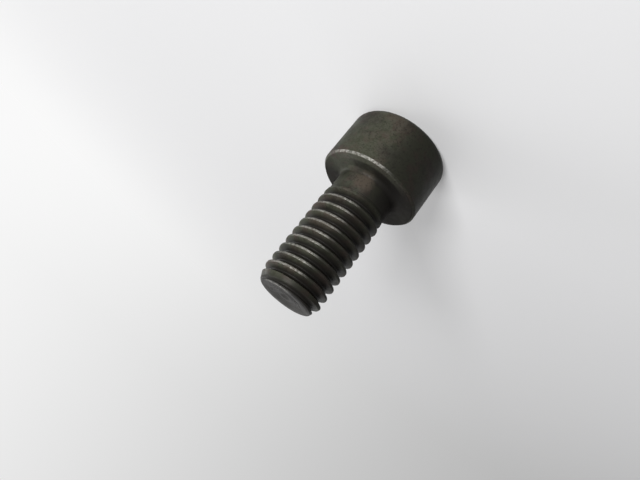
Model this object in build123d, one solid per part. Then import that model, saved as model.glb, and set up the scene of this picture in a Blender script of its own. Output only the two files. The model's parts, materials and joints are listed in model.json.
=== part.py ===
from build123d import *
import os
from math import ceil, radians, tan

# A suspension bolt: an M8 x 1.25 socket-head cap screw, 16 mm long, in one piece of black
# steel. The head is cold-forged with its hexagon socket, and the thread is rolled.
#
# The screw stands on the flat end of its head, round the Z axis, with its threaded end up.
# The ground is at zero. Sizes are in millimetres and degrees.

# ---------------------------------------------------------------- driving dimensions
# Head
head_diameter = 12.75
head_height = 7.5
head_edge_radius = 1.0  # rounding round the socket end
seat_bevel = 0.3  # small bevel round the bearing face

# Hexagon socket, for a 6 mm key
socket_across_flats = 6.0
socket_depth = 4.4  # down to the end of the six flats
socket_floor_depth = 0.7  # the shallow cone beyond the flats
socket_mouth_diameter = 7.2  # the mouth's bevel, at 45 degrees

# Shank, measured from the bearing face
shank_length = 16.5
underhead_fillet = 0.6
neck_diameter = 7.4
neck_length = 2.1
runout_length = 1.6  # over which the thread rises to its full depth

# Thread
thread_diameter = 7.84  # over the crests
thread_pitch = 1.25
thread_depth = 0.69
flank_angle = 30.0  # each flank, from square to the axis
crest_flat = 0.25
first_crest = 4.25  # from the bearing face to the first full crest
first_crest_angle = -90.0  # where that crest is met, round the axis from +X

# End of the shank
end_face_diameter = 6.1
end_shoulder_diameter = 6.7  # where the long bevel meets the edge of the end face
end_edge_length = 0.12  # the steep edge, from there to the face
end_bevel_length = 1.35  # from the full crests to the end face
dish_diameter = 5.2  # rolling draws the skin forward and leaves the middle sunk
dish_depth = 0.2
dimple_diameter = 1.3
dimple_depth = 0.3

# ---------------------------------------------------------------- sizes worked out from them
head_radius = head_diameter / 2
neck_radius = neck_diameter / 2
crest_radius = thread_diameter / 2
root_radius = crest_radius - thread_depth
seat = head_height  # height of the bearing face
neck_end = seat + neck_length
screw_end = seat + shank_length
flank_slope = tan(radians(flank_angle))


def turned_blank():
    """The screw before its socket is punched and its thread is rolled."""
    edge_centre_radius = head_radius - head_edge_radius
    fillet_centre_radius = neck_radius + underhead_fillet
    with BuildPart() as blank:
        with BuildSketch(Plane.XZ):
            with BuildLine():
                RadiusArc(
                    (edge_centre_radius, 0),
                    (head_radius, head_edge_radius),
                    -head_edge_radius,
                )
                Polyline(
                    (head_radius, head_edge_radius),
                    (head_radius, seat - seat_bevel),
                    (head_radius - seat_bevel, seat),
                    (fillet_centre_radius, seat),
                )
                RadiusArc(
                    (fillet_centre_radius, seat),
                    (neck_radius, seat + underhead_fillet),
                    underhead_fillet,
                )
                Polyline(
                    (neck_radius, seat + underhead_fillet),
                    (neck_radius, neck_end),
                    (crest_radius, neck_end + runout_length),
                    (crest_radius, screw_end - end_bevel_length),
                    (end_shoulder_diameter / 2, screw_end - end_edge_length),
                    (end_face_diameter / 2, screw_end),
                    (dish_diameter / 2, screw_end),
                    (dimple_diameter / 2, screw_end - dish_depth),
                    (0, screw_end - dish_depth - dimple_depth),
                    (0, 0),
                    (edge_centre_radius, 0),
                )
            make_face()
        revolve(axis=Axis.Z)
    return blank.part


def hexagon_socket():
    """The space that the key enters: six flats, a shallow conical floor and a bevelled mouth."""
    flat_radius = socket_across_flats / 2
    mouth_radius = socket_mouth_diameter / 2
    upwards = (Align.CENTER, Align.CENTER, Align.MIN)
    with BuildPart() as socket:
        with BuildSketch(Plane.XY):
            RegularPolygon(flat_radius, 6, major_radius=False)
        extrude(amount=socket_depth)
        with Locations((0, 0, socket_depth)):
            Cone(flat_radius, 0, socket_floor_depth, align=upwards)
        Cone(mouth_radius, 0, mouth_radius, align=upwards)
    return socket.part


def groove_turns():
    """The space between the threads, as one solid for each turn, from the neck past the end."""
    clearance = 0.08  # how far the flanks run on outside the crests
    lip = 0.6  # how far each solid stands out beyond the blank
    half_mouth = (thread_pitch - crest_flat) / 2
    half_root = half_mouth - thread_depth * flank_slope
    half_lip = half_mouth + clearance * flank_slope
    section = Wire.make_polygon(
        [
            Vector(root_radius, 0, -half_root),
            Vector(crest_radius + clearance, 0, -half_lip),
            Vector(crest_radius + lip, 0, -half_lip),
            Vector(crest_radius + lip, 0, half_lip),
            Vector(crest_radius + clearance, 0, half_lip),
            Vector(root_radius, 0, half_root),
        ]
    )
    helix = Edge.make_helix(thread_pitch, thread_pitch, crest_radius)
    one_turn = Solid.sweep(Face(section), helix, is_frenet=True)

    # the groove starts inside the neck, and lies half a pitch from the crest beside it
    start = seat + underhead_fillet + half_lip + clearance
    turns_from_crest = (start - seat - first_crest) / thread_pitch + 0.5
    start_angle = first_crest_angle + 360 * turns_from_crest
    turn_count = ceil((screw_end - start) / thread_pitch) + 1
    return [
        Pos(0, 0, start + turn * thread_pitch) * Rot(0, 0, start_angle) * one_turn
        for turn in range(turn_count)
    ]


def runout_core():
    """The solid neck and the cone on which the groove becomes shallow and dies out."""
    overlap = 0.2  # the cone goes on under the root, so that it meets it cleanly
    drop = neck_radius - root_radius
    cone_end = neck_end + runout_length * (drop + overlap) / drop
    with BuildPart() as core:
        with BuildSketch(Plane.XZ):
            with BuildLine():
                Polyline(
                    (0, seat + underhead_fillet),
                    (neck_radius, seat + underhead_fillet),
                    (neck_radius, neck_end),
                    (root_radius - overlap, cone_end),
                    (0, cone_end),
                    close=True,
                )
            make_face()
        revolve(axis=Axis.Z)
    return core.part


threaded_blank = turned_blank().cut(*groove_turns()) + runout_core()
cap_screw = threaded_blank - hexagon_socket()

os.makedirs("parts", exist_ok=True)
export_step(cap_screw, "parts/cap_screw.step")
print("cap screw:", len(cap_screw.solids()), "solid,", round(cap_screw.volume, 2), "mm3")
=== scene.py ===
# %% [markdown]
# # A suspension bolt, one piece of black steel
#
# The bolt is an M8 socket-head cap screw. Its head is cold-forged, its thread is rolled, and the
# whole of it is blackened in a hot salt bath that leaves a thin dark oxide.
#
# The imported model gives the screw's size and place. It stands on the flat end of its head, round
# the Z axis, with the threaded end up. This lesson models the same screw again with softer edges
# and finer turns, then gives it the worn black finish of a screw that has lain about in a box, with
# some light and shade painted into its colour.

# %% Load the imported model and keep its box
import json
import math

import bpy
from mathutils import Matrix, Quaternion, Vector

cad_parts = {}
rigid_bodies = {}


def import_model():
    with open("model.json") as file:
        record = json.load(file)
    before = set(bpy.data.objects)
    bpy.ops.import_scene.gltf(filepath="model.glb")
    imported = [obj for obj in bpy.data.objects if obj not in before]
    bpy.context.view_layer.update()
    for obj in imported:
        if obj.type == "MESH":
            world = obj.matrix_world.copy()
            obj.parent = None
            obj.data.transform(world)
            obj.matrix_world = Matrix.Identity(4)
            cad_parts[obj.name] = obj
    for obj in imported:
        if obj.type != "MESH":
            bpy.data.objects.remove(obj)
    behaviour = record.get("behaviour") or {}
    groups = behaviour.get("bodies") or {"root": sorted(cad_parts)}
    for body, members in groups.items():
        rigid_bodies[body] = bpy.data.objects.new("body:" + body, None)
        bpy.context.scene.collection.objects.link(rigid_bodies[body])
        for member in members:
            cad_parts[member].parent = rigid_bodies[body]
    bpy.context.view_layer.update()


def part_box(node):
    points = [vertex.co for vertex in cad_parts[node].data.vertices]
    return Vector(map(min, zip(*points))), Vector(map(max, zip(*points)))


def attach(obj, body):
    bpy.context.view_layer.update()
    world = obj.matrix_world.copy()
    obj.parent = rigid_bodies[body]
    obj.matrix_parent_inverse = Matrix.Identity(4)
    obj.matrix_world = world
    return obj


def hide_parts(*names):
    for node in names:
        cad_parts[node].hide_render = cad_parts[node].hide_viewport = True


mm = 0.001  # the scene is in metres

bpy.ops.object.select_all(action="SELECT")
bpy.ops.object.delete()
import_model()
screw_low, screw_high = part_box("cap_screw")

# %% [markdown]
# ## Sizes
#
# The head's diameter and the screw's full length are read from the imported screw. The other sizes
# are those of its drawing. A number times mm is a length in metres.

# %% Sizes of the screw
head_radius = (screw_high.x - screw_low.x) / 2
screw_end = screw_high.z
shank_length = 16.5 * mm
seat = screw_end - shank_length  # height of the bearing face
head_edge_radius = 1.0 * mm
seat_bevel = 0.3 * mm

neck_radius = 3.7 * mm
neck_end = seat + 2.1 * mm
underhead_fillet = 0.6 * mm
runout_length = 1.6 * mm

pitch = 1.25 * mm
crest_radius = 3.92 * mm
root_radius = 3.23 * mm
crest_flat = 0.25 * mm
first_crest = seat + 4.25 * mm  # met on the side that faces -Y
thread_angle = math.radians(60)
flank_slope = math.tan(thread_angle / 2)

end_face_radius = 3.05 * mm
end_shoulder_radius = 3.35 * mm
end_edge_length = 0.12 * mm
end_bevel_length = 1.35 * mm
dish_radius = 2.6 * mm
dish_depth = 0.2 * mm
dimple_radius = 0.65 * mm
dimple_depth = 0.3 * mm

socket_flats = 6
socket_across_flats = 6.0 * mm
socket_depth = 4.4 * mm
socket_floor_radius = 2.9 * mm
socket_floor_depth = 0.7 * mm
socket_mouth_radius = 3.6 * mm

print("head", round(2 * head_radius / mm, 2), "mm across, bearing face at", round(seat / mm, 2))

# %% [markdown]
# ## Turning an outline into a solid
#
# A turned part is drawn as half of its section and spun round the axis. An outline starts as one
# point, a plane merged at its middle, and is drawn by extruding that point from place to place,
# as one would by hand. The round corners are arcs of a few short strokes.

# %% Draw an outline and spin it
weld = 0.0005 * mm  # points nearer than this are one point


def deselect_all():
    """Nothing is selected, so the next operator acts only on what is added or picked."""
    bpy.ops.object.select_all(action="DESELECT")


def draw_outline(name, points):
    """An open line in the XZ plane through the points, each a radius and a height."""
    deselect_all()
    first = Vector((points[0][0], 0, points[0][1]))
    bpy.ops.mesh.primitive_plane_add(size=mm, location=(0, 0, 0))
    line = bpy.context.object
    line.name = name
    line.data.name = name
    bpy.ops.object.mode_set(mode="EDIT")
    bpy.ops.mesh.select_mode(type="VERT")
    bpy.ops.mesh.merge(type="CENTER")
    bpy.ops.transform.translate(value=first)
    here = first
    for radius, height in points[1:]:
        there = Vector((radius, 0, height))
        bpy.ops.mesh.extrude_region_move(TRANSFORM_OT_translate={"value": there - here})
        here = there
    bpy.ops.object.mode_set(mode="OBJECT")
    return line


def close_skin():
    """In edit mode: seams and poles are welded, and every face points outwards."""
    bpy.ops.mesh.select_all(action="SELECT")
    bpy.ops.mesh.remove_doubles(threshold=weld)
    bpy.ops.mesh.normals_make_consistent(inside=False)


def spin_outline(name, points, steps):
    """A solid of revolution round Z. The outline starts and ends on the axis."""
    turned = draw_outline(name, points)
    bpy.ops.object.mode_set(mode="EDIT")
    bpy.ops.mesh.select_all(action="SELECT")
    bpy.ops.mesh.spin(steps=steps, angle=2 * math.pi, center=(0, 0, 0), axis=(0, 0, 1))
    close_skin()
    bpy.ops.object.mode_set(mode="OBJECT")
    print(name, "has", len(turned.data.polygons), "faces")
    return turned


# %% [markdown]
# A closed solid has no edge that joins fewer or more than two faces. That is worth counting after
# every cut, because a gap too small to see spoils the next one.

# %% Count the open edges
def open_edges(piece):
    """How many edges don't join exactly two faces."""
    joined = {}
    for face in piece.data.polygons:
        for edge in face.edge_keys:
            joined[edge] = joined.get(edge, 0) + 1
    return sum(1 for count in joined.values() if count != 2)


def print_skin(label, piece):
    """Prints how many faces a piece has, and how many of its edges are open."""
    print(label, len(piece.data.polygons), "faces, open edges:", open_edges(piece))


# %% [markdown]
# ## The thread
#
# A rolled thread is one groove pressed round and round the shank, so its section is the same at
# every turn. One pitch of that section is drawn, and the Screw modifier winds it up the axis. The
# rolls leave the root and the crest rounded, which catches the light along each turn.

# %% One pitch of the thread
crest_rounding = 0.11 * mm
root_rounding = 0.12 * mm
corner_strokes = 4


def rounded_corner(corner, before, after, radius, strokes=corner_strokes):
    """The arc that softens the corner between two neighbouring points of an outline."""
    corner, before, after = Vector(corner), Vector(before), Vector(after)
    to_before = (before - corner).normalized()
    to_after = (after - corner).normalized()
    half_angle = to_before.angle(to_after) / 2
    centre = corner + (to_before + to_after).normalized() * radius / math.sin(half_angle)
    start = corner + to_before * radius / math.tan(half_angle) - centre
    turn = math.pi - 2 * half_angle
    sign = 1 if to_before.cross(to_after) < 0 else -1
    points = []
    for i in range(strokes + 1):
        angle = sign * turn * i / strokes
        x = centre.x + start.x * math.cos(angle) - start.y * math.sin(angle)
        y = centre.y + start.x * math.sin(angle) + start.y * math.cos(angle)
        points.append((x, y))
    return points


def thread_section(low):
    """One pitch, from the middle of one root, over the crest, to the middle of the next."""
    middle = low + pitch / 2
    half_crest = crest_flat / 2
    half_crest_and_flank = half_crest + (crest_radius - root_radius) * flank_slope
    corners = [
        (root_radius, low),
        (root_radius, middle - half_crest_and_flank),
        (crest_radius, middle - half_crest),
        (crest_radius, middle + half_crest),
        (root_radius, middle + half_crest_and_flank),
        (root_radius, low + pitch),
    ]
    rounding = [root_rounding, crest_rounding, crest_rounding, root_rounding]
    points = [corners[0]]
    for i, radius in enumerate(rounding):
        points += rounded_corner(corners[i + 1], corners[i], corners[i + 2], radius)
    return points + [corners[-1]]


print("one pitch is drawn with", len(thread_section(0)), "points")

# %% [markdown]
# The thread is wound from inside the neck to past the end, so that both ends can be cut clean.

# %% Wind the thread up the shank
turn_steps = 128
thread_bottom = seat + 0.72 * mm  # inside the solid neck
thread_top = screw_end + 0.5 * mm  # past the end, to be cut off

crest_at_start = first_crest + pitch / 4  # the same crest, met on the side that faces +X
turns_below = math.ceil((crest_at_start - thread_bottom) / pitch) + 1
section_low = crest_at_start - (turns_below + 0.5) * pitch
turns = math.ceil((thread_top - section_low) / pitch) + 1

thread = draw_outline("thread", thread_section(section_low))
winding = thread.modifiers.new("winding", "SCREW")
winding.axis = "Z"
winding.screw_offset = pitch
winding.iterations = turns
winding.steps = turn_steps
winding.render_steps = turn_steps
winding.use_merge_vertices = True
winding.merge_threshold = weld
bpy.ops.object.modifier_apply(modifier=winding.name)
print("thread:", turns, "turns,", len(thread.data.polygons), "faces")

# %% [markdown]
# The wound thread is an open tube with ragged ends. Two flat cuts, each filled, make it a closed
# rod. At some heights the filling leaves out a sliver, which the count of open edges shows, so both
# heights were chosen where the rod closes.

# %% Cut the thread to a closed rod
cut_tolerance = weld / 10


def cut_flat(piece, height, keep_below):
    """Cuts a piece square to the axis and fills the cut."""
    bpy.ops.object.mode_set(mode="EDIT")
    bpy.ops.mesh.select_all(action="SELECT")
    bpy.ops.mesh.bisect(
        plane_co=(0, 0, height),
        plane_no=(0, 0, 1),
        use_fill=True,
        clear_outer=keep_below,
        clear_inner=not keep_below,
        threshold=cut_tolerance,
    )
    bpy.ops.object.mode_set(mode="OBJECT")


cut_flat(thread, thread_bottom, keep_below=False)
cut_flat(thread, thread_top, keep_below=True)
bpy.ops.object.mode_set(mode="EDIT")
close_skin()
bpy.ops.object.mode_set(mode="OBJECT")
print_skin("rod:", thread)

# %% [markdown]
# ## The pointed end
#
# The blank is turned before it is rolled, so its bevelled end cuts across the last turn. Rolling
# also drags the skin forward and leaves the middle of the end sunk, with a small dimple and the
# fine rings of the turning tool. An envelope of that shape is drawn and spun.

# %% Draw the turned shank
around_steps = 128
clear_of_crests = 0.4 * mm
inside_neck = 0.03 * mm
end_rounding = 0.12 * mm
dish_rounding = 2 * end_rounding
ring_radii = [2.15 * mm, 1.65 * mm, 1.15 * mm]
ring_half_width = 0.15 * mm
ring_depth = 0.05 * mm

shoulder = (end_shoulder_radius, screw_end - end_edge_length)
end_bevel_slope = (crest_radius - end_shoulder_radius) / (end_bevel_length - end_edge_length)
outer_radius = crest_radius + clear_of_crests
bevel_foot = (outer_radius, shoulder[1] - (outer_radius - end_shoulder_radius) / end_bevel_slope)
end_corner = (end_face_radius, screw_end)
dish_edge = (dish_radius, screw_end)
dimple_edge = (dimple_radius, screw_end - dish_depth)
dimple_floor = (0, screw_end - dish_depth - dimple_depth)
runout_slope = (crest_radius - neck_radius) / runout_length
shank_outline = [
    (0, thread_bottom - inside_neck),
    (neck_radius - inside_neck, thread_bottom - inside_neck),
    (neck_radius - inside_neck, neck_end),
    (outer_radius, neck_end + (outer_radius - neck_radius) / runout_slope),
    bevel_foot,
]
shank_outline += rounded_corner(shoulder, bevel_foot, end_corner, end_rounding)
shank_outline += rounded_corner(end_corner, shoulder, dish_edge, end_rounding)
shank_outline += rounded_corner(dish_edge, end_corner, dimple_edge, dish_rounding)
for ring in ring_radii:
    dished = (dish_radius - ring) / (dish_radius - dimple_radius) * dish_depth
    shank_outline += [
        (ring + ring_half_width, screw_end - dished),
        (ring, screw_end - dished - ring_depth),
        (ring - ring_half_width, screw_end - dished),
    ]
shank_outline += rounded_corner(dimple_edge, dish_edge, dimple_floor, dish_rounding)
shank_outline.append(dimple_floor)
envelope = spin_outline("shank_envelope", shank_outline, around_steps)


# %% [markdown]
# The thread could be cut to that shape face by face. The Boolean modifier is surer: it keeps only
# what lies inside both solids, and finds by itself how the bevel crosses each turn.

# %% Keep the thread inside the turned shank
def boolean(piece, tool, operation):
    """Applies an exact Boolean with the tool and deletes the tool."""
    deselect_all()
    bpy.context.view_layer.objects.active = piece
    joining = piece.modifiers.new(operation.lower(), "BOOLEAN")
    joining.operation = operation
    joining.solver = "EXACT"
    joining.object = tool
    bpy.ops.object.modifier_apply(modifier=joining.name)
    bpy.data.objects.remove(tool)
    bpy.ops.object.mode_set(mode="EDIT")
    close_skin()
    bpy.ops.object.mode_set(mode="OBJECT")


boolean(thread, envelope, "INTERSECT")
print_skin("rolled shank:", thread)

# %% [markdown]
# ## The head and the neck
#
# The forged head is nearly a plain cylinder. Its socket end has a generous round edge, and the
# edge of the bearing face has a small bevel, its corners worn soft. A fillet leads into the plain
# neck. The neck goes on as a cone inside the thread: where the groove meets that cone it becomes
# shallow and dies out, as a rolled thread does.

# %% Turn the head, the fillet and the neck
edge_strokes = 10
bevel_strokes = 3
bevel_rounding = 0.12 * mm
core_below_root = 0.2 * mm


def arc(centre, radius, start, end, strokes):
    """Points along an arc in the section, from one angle to another, in degrees."""
    angles = [math.radians(start + (end - start) * i / strokes) for i in range(strokes + 1)]
    return [(centre[0] + radius * math.cos(a), centre[1] + radius * math.sin(a)) for a in angles]


side_edge_centre = (head_radius - head_edge_radius, head_edge_radius)
side_foot = (head_radius, head_edge_radius)
side_top = (head_radius, seat - seat_bevel)
bearing_edge = (head_radius - seat_bevel, seat)
fillet_centre = (neck_radius + underhead_fillet, seat + underhead_fillet)
fillet_foot = (fillet_centre[0], seat)
core_slope = (neck_radius - root_radius) / runout_length
core_end_radius = root_radius - core_below_root
core_end = neck_end + (neck_radius - core_end_radius) / core_slope

head_outline = [(0, 0)]
head_outline += arc(side_edge_centre, head_edge_radius, -90, 0, edge_strokes)
head_outline += rounded_corner(side_top, side_foot, bearing_edge, bevel_rounding, bevel_strokes)
head_outline += rounded_corner(bearing_edge, side_top, fillet_foot, bevel_rounding, bevel_strokes)
head_outline += arc(fillet_centre, underhead_fillet, 270, 180, edge_strokes)
head_outline += [(neck_radius, neck_end), (core_end_radius, core_end), (0, core_end)]
bolt = spin_outline("socket_head_bolt", head_outline, around_steps)
boolean(bolt, thread, "UNION")
print_skin("with its thread:", bolt)

# %% [markdown]
# ## The hexagon socket
#
# The socket is punched cold into the head. It has six flats, a shallow cone at the bottom that
# the punch leaves, and a bevel at the mouth that guides the key. The punch is modelled as a solid
# of its own, starting from a hexagonal prism. All its edges are rounded, as on a real punch,
# because a sharp corner in the socket would start a crack.

# %% Make the hexagonal punch
below_face = 0.5 * mm
punch_rounding = 0.2 * mm
half_flat_angle = math.pi / socket_flats
socket_corner_radius = socket_across_flats / 2 / math.cos(half_flat_angle)

deselect_all()
bpy.ops.mesh.primitive_cylinder_add(
    vertices=socket_flats,
    radius=socket_corner_radius,
    depth=socket_depth + below_face,
    location=(0, 0, (socket_depth - below_face) / 2),
    rotation=(0, 0, half_flat_angle),
)
punch = bpy.context.object
punch.name = "punch"
bpy.ops.object.transform_apply(location=True, rotation=True, scale=True)
bpy.ops.object.mode_set(mode="EDIT")
bpy.ops.mesh.select_mode(type="EDGE")
bpy.ops.mesh.select_all(action="SELECT")
bpy.ops.mesh.bevel(offset=punch_rounding, segments=bevel_strokes, affect="EDGES")
bpy.ops.object.mode_set(mode="OBJECT")
print_skin("punch:", punch)

# %% [markdown]
# Two turned cones are added to the prism, one for the mouth and one for the floor, and the whole
# is then subtracted from the head in one cut.

# %% Punch the hexagon socket
floor_overlap = 0.2 * mm  # how far the floor's cone reaches back into the prism
floor_edge = 0.02 * mm
floor_steps = 48

mouth_outline = [
    (0, -below_face),
    (socket_mouth_radius + below_face, -below_face),
    (0, socket_mouth_radius),
]
mouth = spin_outline("mouth_cutter", mouth_outline, around_steps)
floor_outline = [
    (0, socket_depth - floor_overlap),
    (socket_floor_radius, socket_depth - floor_overlap),
    (socket_floor_radius, socket_depth + floor_edge),
    (0, socket_depth + socket_floor_depth),
]
floor_cutter = spin_outline("floor_cutter", floor_outline, floor_steps)
boolean(punch, mouth, "UNION")
boolean(punch, floor_cutter, "UNION")
boolean(bolt, punch, "DIFFERENCE")
print_skin("with its socket:", bolt)

# %% [markdown]
# ## Blackened and worn steel
#
# The oxide is thin and dark, neither quite black nor quite even. It leans to olive in one place
# and to rust brown in another, and it is peppered with fine dark specks. Painted shade darkens its
# grooves, and painted sheen lightens one side. It wears through first where screws rub against each
# other in their box: on the crests and round the bearing edge, and more on one side than on the
# other.
#
# An image could be wrapped round the screw, but it would blur close up and need seams. Noise in
# Object coordinates has no seam and any fineness, so one material of nodes holds the whole finish.
# The few helpers here add one node each, which keeps the finish itself short to read.

# %% Helpers that add nodes
mix_inputs = (6, 7)  # the sockets of a Mix node that are colours
mix_output = 2

steel = bpy.data.materials.new("blackened_steel")
steel.use_nodes = True
finish = steel.node_tree
finish.nodes.clear()


def add_node(kind, inputs=None, tree=finish, **settings):
    """A node with its settings. An input is a value, or the socket that feeds it."""
    node = tree.nodes.new(kind)
    for name, value in settings.items():
        setattr(node, name, value)
    for name, value in (inputs or {}).items():
        if isinstance(value, bpy.types.NodeSocket):
            tree.links.new(value, node.inputs[name])
        else:
            node.inputs[name].default_value = value
    return node


def calculate(operation, first, second=0.0, tree=finish):
    """A Math node of two inputs."""
    inputs = {0: first, 1: second}
    return add_node("ShaderNodeMath", inputs, tree, operation=operation).outputs["Value"]


def both(first, second):
    """Where two masks hold at once. A plain number weakens a mask."""
    return calculate("MULTIPLY", first, second)


def either(first, second):
    """Where at least one of two masks holds."""
    return calculate("MAXIMUM", first, second)


def ramp(value, low, high, to_low=0.0, to_high=1.0, tree=finish):
    """A smooth step of a value between two bounds."""
    span = {
        "Value": value,
        "From Min": low,
        "From Max": high,
        "To Min": to_low,
        "To Max": to_high,
    }
    node = add_node("ShaderNodeMapRange", span, tree, interpolation_type="SMOOTHSTEP")
    return node.outputs["Result"]


def blend(share, first, second, tree=finish):
    """A colour between two colours. Each is three numbers, or the socket that gives it."""
    mix = add_node("ShaderNodeMix", {"Factor": share}, tree, data_type="RGBA")
    for socket, value in zip(mix_inputs, (first, second)):
        if isinstance(value, bpy.types.NodeSocket):
            tree.links.new(value, mix.inputs[socket])
        else:
            mix.inputs[socket].default_value = (*value, 1)
    return mix.outputs[mix_output]


print("helpers ready for", steel.name)

# %% [markdown]
# The screw stands round Z through the origin, so three measures say where each point of the
# surface is: its height, its distance from the axis, and which way it lies from the axis. The
# lengths in the material are in millimetres, as on the drawing.

# %% Where a point is on the screw
coordinates = add_node("ShaderNodeTexCoord").outputs["Object"]
to_millimetres = {0: coordinates, "Scale": 1 / mm}
place = add_node("ShaderNodeVectorMath", to_millimetres, operation="SCALE").outputs["Vector"]
split = add_node("ShaderNodeSeparateXYZ", {"Vector": place}).outputs
height = split["Z"]
across = calculate("MULTIPLY", split["X"], split["X"])
along = calculate("MULTIPLY", split["Y"], split["Y"])
radius = calculate("SQRT", calculate("ADD", across, along))


def facing(azimuth):
    """1 on the side of the screw towards an azimuth in degrees, and -1 on the far side."""
    way = (math.cos(math.radians(azimuth)), math.sin(math.radians(azimuth)), 0)
    reach = add_node("ShaderNodeVectorMath", {0: place, 1: way}, operation="DOT_PRODUCT")
    return calculate("DIVIDE", reach.outputs["Value"], radius)


def noise(fineness, detail, roughness):
    """Noise with this many features to a millimetre."""
    inputs = {"Vector": place, "Scale": fineness, "Detail": detail, "Roughness": roughness}
    return add_node("ShaderNodeTexNoise", inputs).outputs["Fac"]


print("a point is measured with", len(finish.nodes), "nodes")

# %% [markdown]
# Two kinds of mask carry the whole finish. A side grows towards one azimuth: it places the wear,
# and also the painted sheen and the painted shade. Patches are noise cut between two of its values,
# so that nothing is even.

# %% Masks for a side and for patches
def side(azimuth, begins, full, share=1.0, elsewhere=0.0):
    """A share on one side. It begins and is full where facing() has these values."""
    return ramp(facing(azimuth), begins, full, elsewhere, share)


def patches(fineness, detail, roughness, begins, full, share=1.0, elsewhere=0.0):
    """A share in patches. They begin and are full where the noise has these values."""
    return ramp(noise(fineness, detail, roughness), begins, full, elsewhere, share)


rubbed_azimuth = -60
least_rubbed_share = 0.04
faint_share = 0.25  # what is left of the wear between its patches
rubbed_side = side(rubbed_azimuth, begins=0.74, full=0.97, elsewhere=least_rubbed_share)
print("most rubbed at", rubbed_azimuth, "degrees")

# %% [markdown]
# ## Where the oxide is worn
#
# A crest is what lies within a hair of the blank's own radius, which grows along the run-out up
# to the thread's full size. Patches break the bright line up, so that it comes and goes along
# each turn.

# %% Worn crests
crest_depth = 0.030
crest_share = 0.60
shank_foot = neck_end / mm
crests_begin = shank_foot + 0.5
crests_full = shank_foot + 1.3

runout_top = shank_foot + runout_length / mm
below_runout_top = calculate("MAXIMUM", calculate("SUBTRACT", runout_top, height), 0.0)
runout_taper = calculate("MULTIPLY", below_runout_top, runout_slope)
blank_radius = calculate("SUBTRACT", crest_radius / mm, runout_taper)
below_blank = calculate("SUBTRACT", blank_radius, radius)
on_shank = ramp(height, crests_begin, crests_full)
crest = both(ramp(below_blank, 0.0, crest_depth, 1.0, 0.0), on_shank)
crest_patches = patches(
    fineness=3.2,
    detail=4.0,
    roughness=0.7,
    begins=0.40,
    full=0.62,
    share=crest_share,
    elsewhere=faint_share * crest_share,
)
worn_crest = both(both(crest, crest_patches), rubbed_side)
print("crests wear", crest_depth, "mm deep")

# %% [markdown]
# The worn edges are thin rings: round the bevel of the bearing face, round the end, and low on
# the head's round edge, where a lying screw rolls. Each ring is what lies close to one circle.

# %% Worn edges
rim_radius = (head_radius - seat_bevel / 2) / mm
rim_height = (seat - seat_bevel / 2) / mm
rim_width = 0.10
rim_softness = 0.10
rim_share = 0.66
end_edge_share = 0.40
foot_share = 0.40
foot_azimuth = -115
foot_height = 0.16
end_height = screw_end / mm
edge_radius = head_edge_radius / mm
above_foot = edge_radius - foot_height
foot_radius = head_radius / mm - edge_radius + math.sqrt(edge_radius**2 - above_foot**2)


def ring_at(ring_radius, ring_height):
    """A thin ring round the screw, at a radius and a height."""
    outwards = calculate("SUBTRACT", radius, ring_radius)
    upwards = calculate("SUBTRACT", height, ring_height)
    outwards_squared = calculate("MULTIPLY", outwards, outwards)
    upwards_squared = calculate("MULTIPLY", upwards, upwards)
    distance = calculate("SQRT", calculate("ADD", outwards_squared, upwards_squared))
    return ramp(distance, rim_width, rim_width + rim_softness, 1.0, 0.0)


rim_patches = patches(
    fineness=3.0, detail=4.0, roughness=0.7, begins=0.40, full=0.58, elsewhere=faint_share
)
bearing_ring = both(ring_at(rim_radius, rim_height), rim_share)
end_ring = both(ring_at(end_face_radius / mm, end_height), end_edge_share)
worn_rings = both(both(either(bearing_ring, end_ring), rim_patches), rubbed_side)
foot_side = side(
    foot_azimuth, begins=0.0, full=0.8, share=foot_share, elsewhere=least_rubbed_share
)
worn_foot = both(ring_at(foot_radius, foot_height), foot_side)
print("rings at radii", round(rim_radius, 2), round(end_face_radius / mm, 2), round(foot_radius, 2))

# %% [markdown]
# The end of the thread is rubbed a little all over. The largest of all the worn masks then says
# where bare steel shows.

# %% All that is worn
worn_end_begins = end_height - 0.8
worn_end_full = end_height - 0.3
worn_end_share = 0.01

worn_end = ramp(height, worn_end_begins, worn_end_full, 0.0, worn_end_share)
rubbed = either(either(worn_crest, either(worn_rings, worn_foot)), worn_end)
print("worn masks joined,", len(finish.nodes), "nodes so far")

# %% [markdown]
# ## The oxide's colours
#
# The colours are mixed from the bottom up, as they lie. First comes the oxide itself, olive in
# one place and brown in the next, then its dark stains, then a painted sheen, a lighter grey on
# the side towards azimuth -68 degrees.

# %% Oxide, stains and painted sheen
olive = (0.040, 0.043, 0.027)
brown = (0.050, 0.037, 0.028)
black = (0.011, 0.010, 0.009)
# Painted sheen: a lighter grey laid on one side, and again on a ring of the bearing face.
painted_sheen = (0.12, 0.12, 0.095)
stain_share = 0.6
painted_sheen_share = 0.36
least_painted_sheen_share = 0.3 * painted_sheen_share
painted_sheen_azimuth = -68

brown_patches = patches(fineness=0.45, detail=5.0, roughness=0.62, begins=0.46, full=0.60)
stains = patches(
    fineness=0.28, detail=4.0, roughness=0.6, begins=0.50, full=0.68, share=stain_share
)
painted_sheen_patches = patches(
    fineness=1.3,
    detail=5.0,
    roughness=0.75,
    begins=0.36,
    full=0.60,
    share=painted_sheen_share,
    elsewhere=least_painted_sheen_share,
)
# The painted sheen lies towards one azimuth, broken into patches.
painted_sheen_side = side(painted_sheen_azimuth, begins=0.78, full=1.0)
stained = blend(stains, blend(brown_patches, olive, brown), black)
with_painted_sheen = blend(both(painted_sheen_side, painted_sheen_patches), stained, painted_sheen)
print("oxide mixed from", olive, "and", brown)

# %% [markdown]
# Painted shade darkens the colour deep in the grooves, in the corner under the head on the side
# away from the light, and along one side of the screw, towards -125 degrees.

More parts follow.
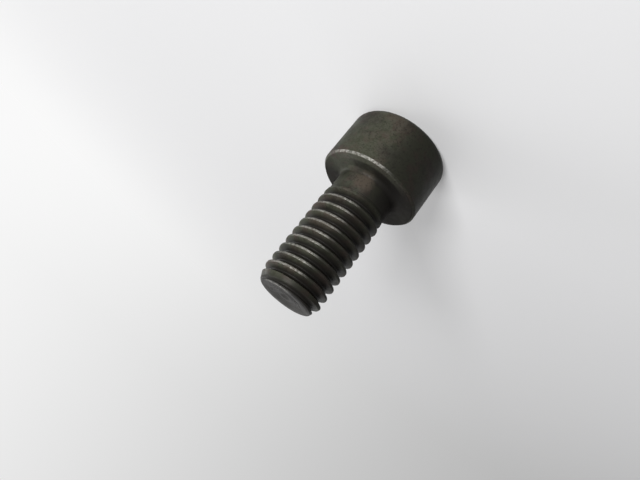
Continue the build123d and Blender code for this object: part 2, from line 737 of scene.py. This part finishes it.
# %% Painted shade in the grooves, in the corner and along one side
groove_shade_share = 0.93
groove_floor = root_radius / mm
groove_reach = 0.69
corner_shade_share = 0.92
corner_reach = 1.5
lit_azimuth = -50  # the lit side, which the painted corner shade leaves out
shaded_side_azimuth = -125
shaded_side_black = 0.65

# Painted shade: black mixed in towards the roots of the grooves.
groove_shade = ramp(radius, groove_floor, groove_floor + groove_reach, groove_shade_share, 0.0)
with_groove_shade = blend(groove_shade, with_painted_sheen, black)
# Painted shade in the corner under the head, away from the lit side, and along the side towards
# -125 degrees.
above_seat = ramp(height, rim_height, seat / mm)
near_head = ramp(height, shank_foot, shank_foot + corner_reach, 1.0, 0.0)
unlit_side = side(lit_azimuth, begins=0.35, full=0.97, share=0.0, elsewhere=1.0)
corner = both(both(above_seat, near_head), unlit_side)
shaded_side = side(shaded_side_azimuth, begins=0.62, full=0.90, share=shaded_side_black)
painted_shade_share = either(shaded_side, both(corner, corner_shade_share))
with_painted_shade = blend(painted_shade_share, with_groove_shade, black)
# The painted shade reaches this far up the grooves from their floor.
print("soot reaches", groove_reach, "mm up the grooves")

# %% [markdown]
# On the bearing face a painted sheen lightens a ring near the face's edge, towards -78 degrees,
# and painted shade darkens the face inside that ring, towards -108 degrees.

# %% Painted sheen and painted shade on the bearing face
sheen_ring_begins = 5.1  # radii between which the painted shade gives way to the painted sheen
sheen_ring_full = 5.5
seat_shade_azimuth = -108
seat_shade_black = 0.65
seat_sheen_azimuth = -78
seat_sheen_share = 0.30
fillet_top = (seat + underhead_fillet) / mm
fillet_softness = 0.2

below_fillet_top = ramp(
    height, fillet_top - fillet_softness, fillet_top + fillet_softness, 1.0, 0.0
)
on_seat = both(above_seat, below_fillet_top)
# Painted shade inside the ring and painted sheen on the ring, each towards its own azimuth.
seat_shade_side = both(on_seat, side(seat_shade_azimuth, begins=0.30, full=0.75))
seat_sheen_side = both(on_seat, side(seat_sheen_azimuth, begins=0.55, full=0.92))
seat_shade = both(seat_shade_side, ramp(radius, sheen_ring_begins, sheen_ring_full, 1.0, 0.0))
seat_sheen = both(seat_sheen_side, ramp(radius, sheen_ring_begins, sheen_ring_full))
with_seat_shade = blend(both(seat_shade, seat_shade_black), with_painted_shade, black)
with_seat_sheen = blend(both(seat_sheen, seat_sheen_share), with_seat_shade, painted_sheen)
print("the mark begins at radius", sheen_ring_begins, "mm")

# %% [markdown]
# A small patch of lighter rust brown sits on the neck: a rust tint and a painted highlight. It is
# a ball round one point of the surface, and noise added to the distance from that point frays its
# edge.

# %% The rust-brown patch with a painted highlight on the neck
# A lighter rust brown: a rust tint with a painted highlight.
rust_and_highlight = (0.082, 0.064, 0.050)
rust_and_highlight_azimuth = math.radians(-76)
rust_and_highlight_height = seat / mm + 1.2
rust_and_highlight_share = 0.75
rust_and_highlight_full = 1.0  # distances, with the noise added, between which the patch fades
rust_and_highlight_ends = 2.1

rust_and_highlight_middle = (
    neck_radius / mm * math.cos(rust_and_highlight_azimuth),
    neck_radius / mm * math.sin(rust_and_highlight_azimuth),
    rust_and_highlight_height,
)
from_rust_and_highlight = add_node("ShaderNodeVectorMath", {0: place, 1: rust_and_highlight_middle}, operation="DISTANCE")
frayed = noise(fineness=1.6, detail=4.0, roughness=0.7)
rust_and_highlight_distance = calculate("ADD", from_rust_and_highlight.outputs["Value"], frayed)
with_rust_and_highlight = blend(ramp(rust_and_highlight_distance, rust_and_highlight_full, rust_and_highlight_ends, rust_and_highlight_share, 0.0), with_seat_sheen, rust_and_highlight)
print("rust round", [round(length, 2) for length in rust_and_highlight_middle])

# %% [markdown]
# Fine dark specks and a painted shade in the hollow of the end lie on top of the oxide. Where the
# oxide is worn through, bare steel takes the place of all of it.

# %% Specks, hollows and bare steel
bare = (0.42, 0.41, 0.38)
speck_share = 0.5
hollow_shade_share = 0.65

specks = patches(
    fineness=4.0, detail=3.0, roughness=0.6, begins=0.50, full=0.68, share=speck_share
)
# Painted shade: black mixed in near the axis, darkest at the dimple, also on the socket's floor.
hollow_shade = ramp(radius, dimple_radius / mm, dish_radius / mm, hollow_shade_share, 0.0)
oxide = blend(either(specks, hollow_shade), with_rust_and_highlight, black)
colour = blend(rubbed, oxide, bare)
print("colour mixed,", len(finish.nodes), "nodes so far")

# %% [markdown]
# Only the bare steel is a metal to the eye: the oxide shines as a dull skin does, so its
# refraction is low. Its gloss changes in clouds, it is duller in the corner under the head where
# shade is painted, and a fine grain breaks up what it mirrors.

# %% Gloss and grain
glossiest = 0.38
dullest = 0.50
corner_dullness = 0.3
grain_strength = 0.4
grain_depth = 0.02 * mm
skin_refraction = 1.18

clouds = patches(
    fineness=1.1,
    detail=4.0,
    roughness=0.6,
    begins=0.3,
    full=0.7,
    share=dullest,
    elsewhere=glossiest,
)
gloss = calculate("ADD", clouds, both(corner, corner_dullness))
bumps = {
    "Height": noise(fineness=9.0, detail=5.0, roughness=0.6),
    "Strength": grain_strength,
    "Distance": grain_depth,
}
skin = {
    "Base Color": colour,
    "Metallic": rubbed,
    "Roughness": gloss,
    "Normal": add_node("ShaderNodeBump", bumps).outputs["Normal"],
    "IOR": skin_refraction,
}
surface = add_node("ShaderNodeBsdfPrincipled", skin)
add_node("ShaderNodeOutputMaterial", {"Surface": surface.outputs["BSDF"]})
bolt.data.materials.clear()
bolt.data.materials.append(steel)
print("blackened_steel has", len(finish.nodes), "nodes")

# %% [markdown]
# ## Shading and the screw's place in the model
#
# Only sharp edges stay sharp: the flats of the socket and the ends of the flanks. Every gentler
# edge is shaded smooth, so that the steps of the turned shapes don't show. The piece rides on the
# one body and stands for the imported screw.

# %% Smooth shading that keeps the true edges
sharp_angle = math.radians(30)

deselect_all()
bolt.select_set(True)
bpy.context.view_layer.objects.active = bolt
bpy.ops.object.shade_smooth_by_angle(angle=sharp_angle)
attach(bolt, "root")
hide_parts("cap_screw")
print(bolt.name, "rides on root and stands for cap_screw")

# %% [markdown]
# ## The room
#
# Dark steel shows its shape by what it mirrors, so the room matters as much as the lamps. It is
# pale on the window's side and dims towards the opposite one. A sky picture or painted walls
# could do that, but a brightness worked out from the direction alone needs no walls, and the same
# sum also colours the sheet far away, so that no horizon shows.
#
# Seen directly or mirrored in steel, the room and the sheet are pale. As lamps they are much
# weaker, so that the window models the screw and its far side stays dark.

# %% Brightness that is weaker as a lamp than to the eye
def seen_share(tree, unseen):
    """1 where a thing is seen, directly or mirrored in the steel, and less where it is a lamp."""
    path = add_node("ShaderNodeLightPath", tree=tree).outputs
    seen = path["Is Camera Ray"]
    for ray in ("Is Glossy Ray", "Is Transmission Ray"):
        seen = calculate("MAXIMUM", seen, path[ray], tree)
    share = add_node("ShaderNodeMapRange", {"Value": seen, "To Min": unseen}, tree)
    return share.outputs["Result"]


room_dim = 0.30
room_pale = 0.95
pale_azimuth = math.radians(-20)
dimmest_at = -1.3  # cosines of the angle from the pale side, between which the room brightens
palest_at = 0.35
room_as_lamp = 0.07


def room_brightness(tree, direction):
    """How bright the room is towards a direction."""
    pale_side = (math.cos(pale_azimuth), math.sin(pale_azimuth), 0)
    sides = {0: direction, 1: pale_side}
    facing_pale = add_node("ShaderNodeVectorMath", sides, tree, operation="DOT_PRODUCT")
    cosine = facing_pale.outputs["Value"]
    brightness = ramp(cosine, dimmest_at, palest_at, room_dim, room_pale, tree)
    return calculate("MULTIPLY", brightness, seen_share(tree, room_as_lamp), tree)


print("the room goes from", room_dim, "to", room_pale)

# %% [markdown]
# The world takes that brightness straight from the direction in which it is looked at.

# %% A room that is pale on one side
world = bpy.data.worlds.new("room")
bpy.context.scene.world = world
world.use_nodes = True
room = world.node_tree
background = room.nodes["Background"]
background.inputs["Color"].default_value = (1, 1, 1, 1)
room_direction = add_node("ShaderNodeTexCoord", tree=room).outputs["Generated"]
room.links.new(room_brightness(room, room_direction), background.inputs["Strength"])
print("room has", len(room.nodes), "nodes")

# %% [markdown]
# ## The sheet that the screw stands on
#
# Near the screw it is white paper that takes the shadow. Part of its brightness is a glow, which
# softens the shadow as a thick pale card does, and farther out the glow takes over and meets the
# room without a line.

# %% The paper
floor_size = 8  # metres, so that its edge is far out of sight
paper_white = (0.85, 0.85, 0.86)
no_light = (0, 0, 0)
bounce = 0.25  # share of the paper's whiteness that throws light back on the screw
paper_roughness = 0.9
paper_shine = 0.1

deselect_all()
bpy.ops.mesh.primitive_plane_add(size=floor_size, location=(0, 0, 0))
floor = bpy.context.object
floor.name = "floor"
paper = bpy.data.materials.new("paper")
paper.use_nodes = True
floor.data.materials.append(paper)
sheet = paper.node_tree
white = blend(seen_share(sheet, bounce), no_light, paper_white, sheet)
paper_surface = sheet.nodes["Principled BSDF"]
sheet.links.new(white, paper_surface.inputs["Base Color"])
paper_surface.inputs["Roughness"].default_value = paper_roughness
paper_surface.inputs["Specular IOR Level"].default_value = paper_shine
print("paper", paper_white)

# %% [markdown]
# The glow is the room's own brightness, looked up towards each point of the sheet. Straight under
# the screw that direction would flip from one side to the other, so it is shortened there, and
# the glow hardly changes near the screw.

# %% The glow that joins the sheet to the room
near_glow = 0.24  # share of the sheet's brightness that no shadow takes away
glow_from = 30 * mm
glow_to = 160 * mm
even_within = 28 * mm  # nearer than about this, the glow hardly changes from side to side

sheet_place = add_node("ShaderNodeTexCoord", tree=sheet).outputs["Object"]
length = add_node("ShaderNodeVectorMath", {0: sheet_place}, sheet, operation="LENGTH")
sheet_distance = length.outputs["Value"]
softened = calculate("ADD", sheet_distance, even_within, sheet)
shortening = calculate("DIVIDE", 1.0, softened, sheet)
shortened = {0: sheet_place, "Scale": shortening}
direction = add_node("ShaderNodeVectorMath", shortened, sheet, operation="SCALE")
brightness = room_brightness(sheet, direction.outputs["Vector"])
glow = add_node("ShaderNodeEmission", {"Strength": brightness}, sheet).outputs["Emission"]
glow_share = ramp(sheet_distance, glow_from, glow_to, near_glow, 1.0, sheet)
card = {0: glow_share, 1: paper_surface.outputs["BSDF"], 2: glow}
card_shader = add_node("ShaderNodeMixShader", card, sheet).outputs["Shader"]
sheet.links.new(card_shader, sheet.nodes["Material Output"].inputs["Surface"])
print("sheet has", len(sheet.nodes), "nodes")

# %% [markdown]
# ## Lamps
#
# A low window stands in front and throws the shadow back beside the shank, and a weak light near
# the floor follows it round. A large lamp behind the screw brings out the bearing face, the
# fillet and the near ends of the flanks, and a weak fill keeps the far side readable.

# %% Light
lamp_distance = 260 * mm


def towards(azimuth, elevation):
    """The direction of length 1 at these angles, in degrees."""
    around, up = math.radians(azimuth), math.radians(elevation)
    level = math.cos(up)
    return Vector((level * math.cos(around), level * math.sin(around), math.sin(up)))


def softbox(name, azimuth, elevation, size, power):
    """A square soft light that faces the middle of the screw. The angles are in degrees."""
    aim = Vector((0, 0, seat))
    way = towards(azimuth, elevation)
    deselect_all()
    bpy.ops.object.light_add(type="AREA", location=aim + lamp_distance * way)
    lamp = bpy.context.object
    lamp.name = name
    lamp.data.size = size
    lamp.data.energy = power
    lamp.rotation_mode = "QUATERNION"
    lamp.rotation_quaternion = way.to_track_quat("Z", "Y")
    print(name, "is", round(size / mm), "mm across, with", power, "W")


softbox("window_light", azimuth=-62, elevation=26, size=110 * mm, power=0.74)
softbox("side_light", azimuth=36, elevation=8, size=120 * mm, power=0.20)
softbox("back_light", azimuth=67, elevation=55, size=220 * mm, power=0.25)
softbox("fill_light", azimuth=118, elevation=32, size=200 * mm, power=0.09)

# %% [markdown]
# ## The camera
#
# It looks down on the threaded end from a hand's breadth away and is rolled over, so that the
# screw lies slanting in the picture, its end low on the left and its head high on the right. A
# camera can be aimed with a constraint, but a direction and a roll are as short and need no helper.

# %% Camera
camera_place = Vector((-0.4, -56.95, 37.15)) * mm
view_azimuth = 88.8  # the way the camera looks, in degrees
view_elevation = -20.25
camera_roll = math.radians(141.95)
lens_length = 30  # this and the film's width are plain millimetres, as on a real camera
film_width = 36
nearest_seen = 1 * mm

deselect_all()
bpy.ops.object.camera_add(location=camera_place)
camera = bpy.context.object
camera.name = "camera"
upright = towards(view_azimuth, view_elevation).to_track_quat("-Z", "Y")
camera.rotation_mode = "QUATERNION"
camera.rotation_quaternion = upright @ Quaternion((0, 0, 1), -camera_roll)
camera.data.lens = lens_length
camera.data.sensor_width = film_width
camera.data.clip_start = nearest_seen
bpy.context.scene.camera = camera
bpy.context.scene.view_settings.view_transform = "Standard"
print("camera", round(camera_place.length / mm), "mm from the foot of the screw")
